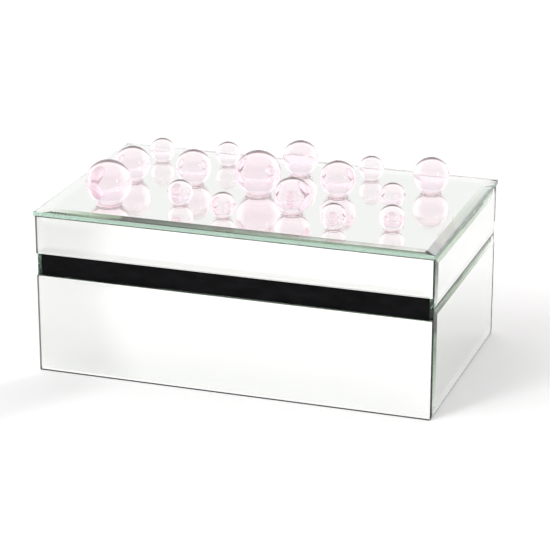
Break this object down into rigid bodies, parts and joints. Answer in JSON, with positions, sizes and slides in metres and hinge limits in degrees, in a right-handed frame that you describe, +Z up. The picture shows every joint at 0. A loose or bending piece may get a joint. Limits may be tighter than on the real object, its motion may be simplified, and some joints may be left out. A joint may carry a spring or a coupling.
{
  "type": "mirrored trinket box",
  "caption": "Rectangular hinged box faced with bevelled mirror glass and lined with black velvet, with clear glass balls standing on its lid.",
  "frame": {"origin": "centre of the underside, on the surface the box stands on", "axes": "+X along the box's length to the right, +Y from the front to the hinges, +Z up"},
  "size_m": [0.22, 0.134, 0.1152],
  "materials": {
    "mirror_glass": "polished, silvered on the back, bevelled edges",
    "ball_glass": "polished, faint pink",
    "carcass_wood": "raw fibreboard",
    "velvet": "black velvet",
    "felt": "thin black felt",
    "hinge_brass": "satin"
  },
  "bodies": {
    "base": {"bottom_felt": "felt", "base_bottom_board": "carcass_wood", "base_front_board": "carcass_wood", "base_back_board": "carcass_wood", "base_left_board": "carcass_wood", "base_right_board": "carcass_wood", "base_front_mirror": "mirror_glass", "base_back_mirror": "mirror_glass", "base_left_mirror": "mirror_glass", "base_right_mirror": "mirror_glass", "base_front_band": "velvet", "base_back_band": "velvet", "base_rim_wrap": "velvet", "base_wall_lining": "velvet", "base_floor_pad": "velvet", "left_hinge_base_leaf": "hinge_brass", "right_hinge_base_leaf": "hinge_brass", "left_hinge_pin": "hinge_brass", "right_hinge_pin": "hinge_brass", "base_hinge_screws": "hinge_brass"},
    "lid": {"lid_top_board": "carcass_wood", "lid_front_board": "carcass_wood", "lid_back_board": "carcass_wood", "lid_left_board": "carcass_wood", "lid_right_board": "carcass_wood", "lid_top_mirror": "mirror_glass", "lid_front_mirror": "mirror_glass", "lid_back_mirror": "mirror_glass", "lid_left_mirror": "mirror_glass", "lid_right_mirror": "mirror_glass", "lid_front_band": "velvet", "lid_back_band": "velvet", "lid_rim_wrap": "velvet", "lid_wall_lining": "velvet", "lid_pad": "velvet", "left_hinge_lid_leaf": "hinge_brass", "right_hinge_lid_leaf": "hinge_brass", "lid_hinge_screws": "hinge_brass", "glass_ball_1": "ball_glass", "glass_ball_2": "ball_glass", "glass_ball_3": "ball_glass", "glass_ball_4": "ball_glass", "glass_ball_5": "ball_glass", "glass_ball_6": "ball_glass", "glass_ball_7": "ball_glass", "glass_ball_8": "ball_glass", "glass_ball_9": "ball_glass", "glass_ball_10": "ball_glass", "glass_ball_11": "ball_glass", "glass_ball_12": "ball_glass", "glass_ball_13": "ball_glass", "glass_ball_14": "ball_glass", "glass_ball_15": "ball_glass", "glass_ball_16": "ball_glass"}
  },
  "joints": [
    {"name": "lid_hinge", "type": "hinge", "parent": "base", "child": "lid", "pos_m": [0, 0.06582, 0.0605], "axis": [-1, 0, 0], "range_deg": [0, 100]}
  ]
}
